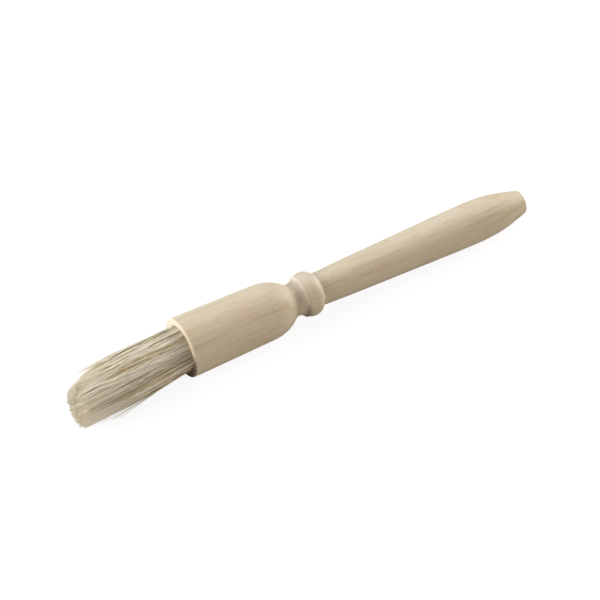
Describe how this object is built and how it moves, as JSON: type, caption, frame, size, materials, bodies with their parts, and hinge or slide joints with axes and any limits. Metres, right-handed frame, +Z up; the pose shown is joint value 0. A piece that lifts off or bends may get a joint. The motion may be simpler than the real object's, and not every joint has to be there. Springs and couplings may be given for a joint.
{
  "type": "pastry brush",
  "caption": "Round pastry brush: turned wooden handle with barrel, neck, bead and swelling grip, and a flexible knot of natural bristle set in the barrel.",
  "frame": {"origin": "under the middle of the brush's length, on the surface it lies on: the lowest point of the barrel is at z = 0, and the handle's axis of revolution runs at z = 12.5 mm in the plane y = 0", "axes": "+X along the handle's axis from the bristle tips to the butt, +Z up, +Y to the far side as +X points right"},
  "size_m": [0.212, 0.025, 0.025],
  "materials": {
    "handle_wood": "bare, fine-sanded, matte",
    "bristle": "natural hog bristle, soft sheen",
    "thread": "waxed cotton",
    "resin": "cast, amber"
  },
  "bodies": {
    "handle": {"handle": "handle_wood", "setting_resin": "resin", "binding_thread": "thread", "centre_bristle_roots": "bristle", "inner_bristle_roots": "bristle", "outer_bristle_roots": "bristle"},
    "bristle_base": {"centre_bristle_base": "bristle", "inner_bristle_base": "bristle", "outer_bristle_base": "bristle"},
    "bristle_tips": {"centre_bristle_tips": "bristle", "inner_bristle_tips": "bristle", "outer_bristle_tips": "bristle"}
  },
  "joints": [
    {"name": "bristle_flex_up_down", "type": "hinge", "parent": "handle", "child": "bristle_base", "pos_m": [-0.057, 0, 0.0125], "axis": [0, 1, 0], "range_deg": [-30, 30], "stiffness_Nm_per_rad": 0.12},
    {"name": "bristle_flex_sideways", "type": "hinge", "parent": "bristle_base", "child": "bristle_tips", "pos_m": [-0.071, 0, 0.01187], "axis": [0, 0, 1], "range_deg": [-30, 30], "stiffness_Nm_per_rad": 0.06}
  ]
}
